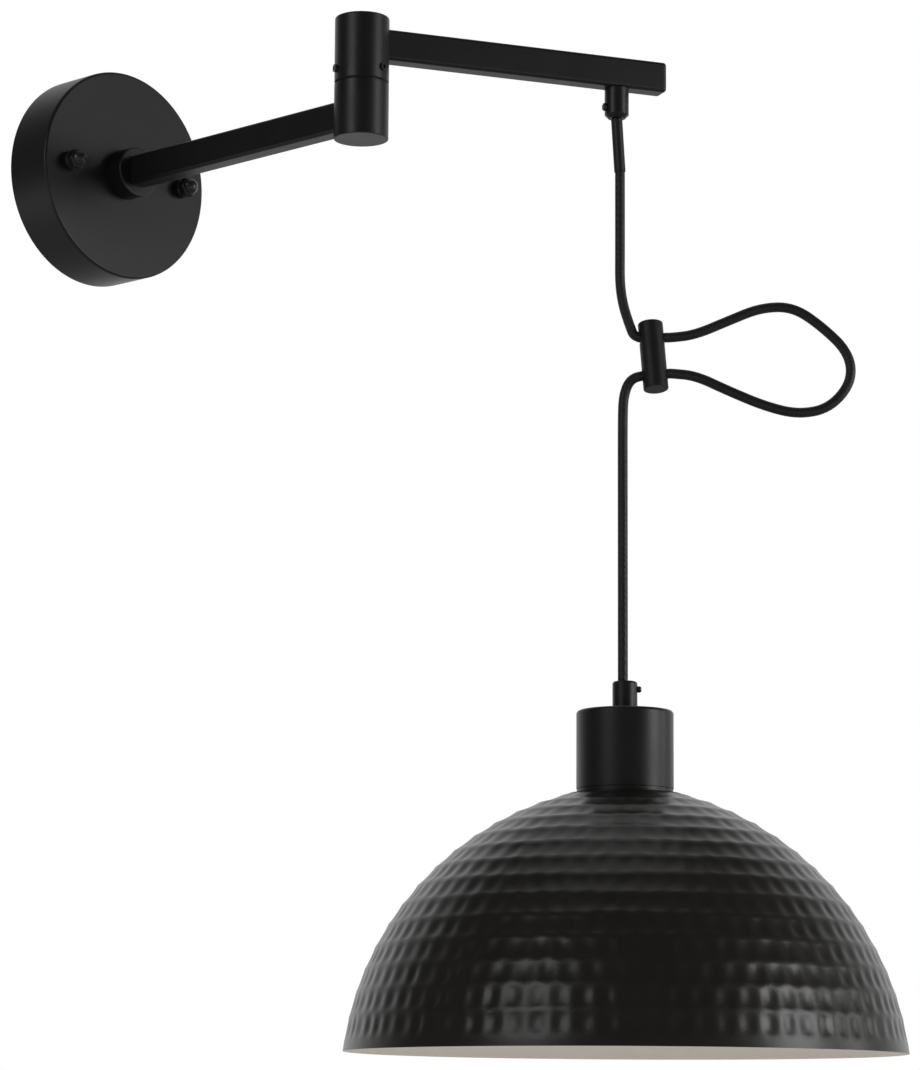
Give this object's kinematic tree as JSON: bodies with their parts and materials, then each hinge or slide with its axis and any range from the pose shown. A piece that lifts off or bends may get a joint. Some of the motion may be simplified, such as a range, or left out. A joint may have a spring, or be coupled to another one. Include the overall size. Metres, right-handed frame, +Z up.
{
  "type": "wall light",
  "caption": "Wall light with a round canopy, a folding square-tube arm and a dented dome shade hung on a looped, adjustable cord.",
  "frame": {"origin": "centre of the wall plate's back face, which lies on the wall", "axes": "+Z up, +Y into the wall, the light stands out along -Y, +X to the right as seen by someone facing the wall"},
  "size_m": [0.3486, 0.4381, 0.5588],
  "materials": {
    "black_paint": "satin black powder coat",
    "shade_metal": "satin black outside, warm white inside",
    "black_screw": "blackened steel",
    "zinc_steel": "zinc plated",
    "brass": "plain brass",
    "black_plastic": "fine matt",
    "white_plastic": "matt",
    "ceramic": "glazed ceramic",
    "cord_braid": "black textile braid",
    "core_insulation": "flexible insulation"
  },
  "bodies": {
    "wall_side": {"wall_plate": "zinc_steel", "canopy_studs": "zinc_steel", "stud_nuts": "zinc_steel", "canopy_spacers": "black_paint", "canopy_cap_nuts": "black_paint", "terminal_block": "white_plastic", "terminal_screws": "brass", "earth_screw": "brass", "earth_washer": "zinc_steel", "canopy": "black_paint", "arm_collar": "black_paint", "collar_nipple": "zinc_steel", "nipple_nut": "zinc_steel", "nipple_washer": "zinc_steel", "lower_arm": "black_paint", "elbow_lower_barrel": "black_paint", "elbow_shaft": "zinc_steel", "elbow_washer": "white_plastic", "lower_arm_lead": "cord_braid", "supply_cores": "core_insulation"},
    "swing_arm": {"elbow_upper_barrel": "black_paint", "elbow_set_screws": "black_screw", "upper_arm": "black_paint", "upper_arm_end_cap": "black_paint", "arm_cord_grip": "black_paint", "arm_grip_screw": "black_screw", "upper_arm_lead": "cord_braid"},
    "cord_neck": {"cord_sleeve": "cord_braid", "neck_cord": "cord_braid"},
    "cord_hanger": {"cord_upper_run": "cord_braid", "cord_adjuster": "black_plastic", "cord_loop": "cord_braid"},
    "lower_cord": {"cord_lower_run": "cord_braid"},
    "lamp_head": {"lamp_cord_grip": "black_paint", "lamp_grip_screw": "black_screw", "lamp_cup": "black_paint", "cup_nut": "zinc_steel", "lampholder_cap": "black_plastic", "lampholder_body": "black_plastic", "lampholder_insert": "ceramic", "contact_screws": "brass", "contact_shell": "brass", "centre_contact": "brass", "shade_disc": "black_paint", "shade_ring": "black_plastic", "shade": "shade_metal", "lamp_cores": "core_insulation"}
  },
  "joints": [
    {"name": "elbow", "type": "hinge", "parent": "wall_side", "child": "swing_arm", "pos_m": [0, -0.221, 0.025], "axis": [0, 0, 1], "range_deg": [-175, 50]},
    {"name": "neck_swing", "type": "hinge", "parent": "swing_arm", "child": "cord_neck", "pos_m": [0.13568, -0.28496, 0.013], "axis": [0, 1, 0], "range_deg": [-8, 8]},
    {"name": "pendant_swing", "type": "hinge", "parent": "cord_neck", "child": "cord_hanger", "pos_m": [0.13692, -0.28627, -0.0173], "axis": [1, 0, 0], "range_deg": [-15, 15]},
    {"name": "height", "type": "slide", "parent": "cord_hanger", "child": "lower_cord", "axis": [0, 0, 1], "range_m": [-0.08, 0.06], "deforming": ["cord_lower_run"]},
    {"name": "shade_turn", "type": "hinge", "parent": "lower_cord", "child": "lamp_head", "pos_m": [0.13788, -0.28728, -0.304], "axis": [0, 0, 1], "range_deg": [-90, 90]}
  ]
}
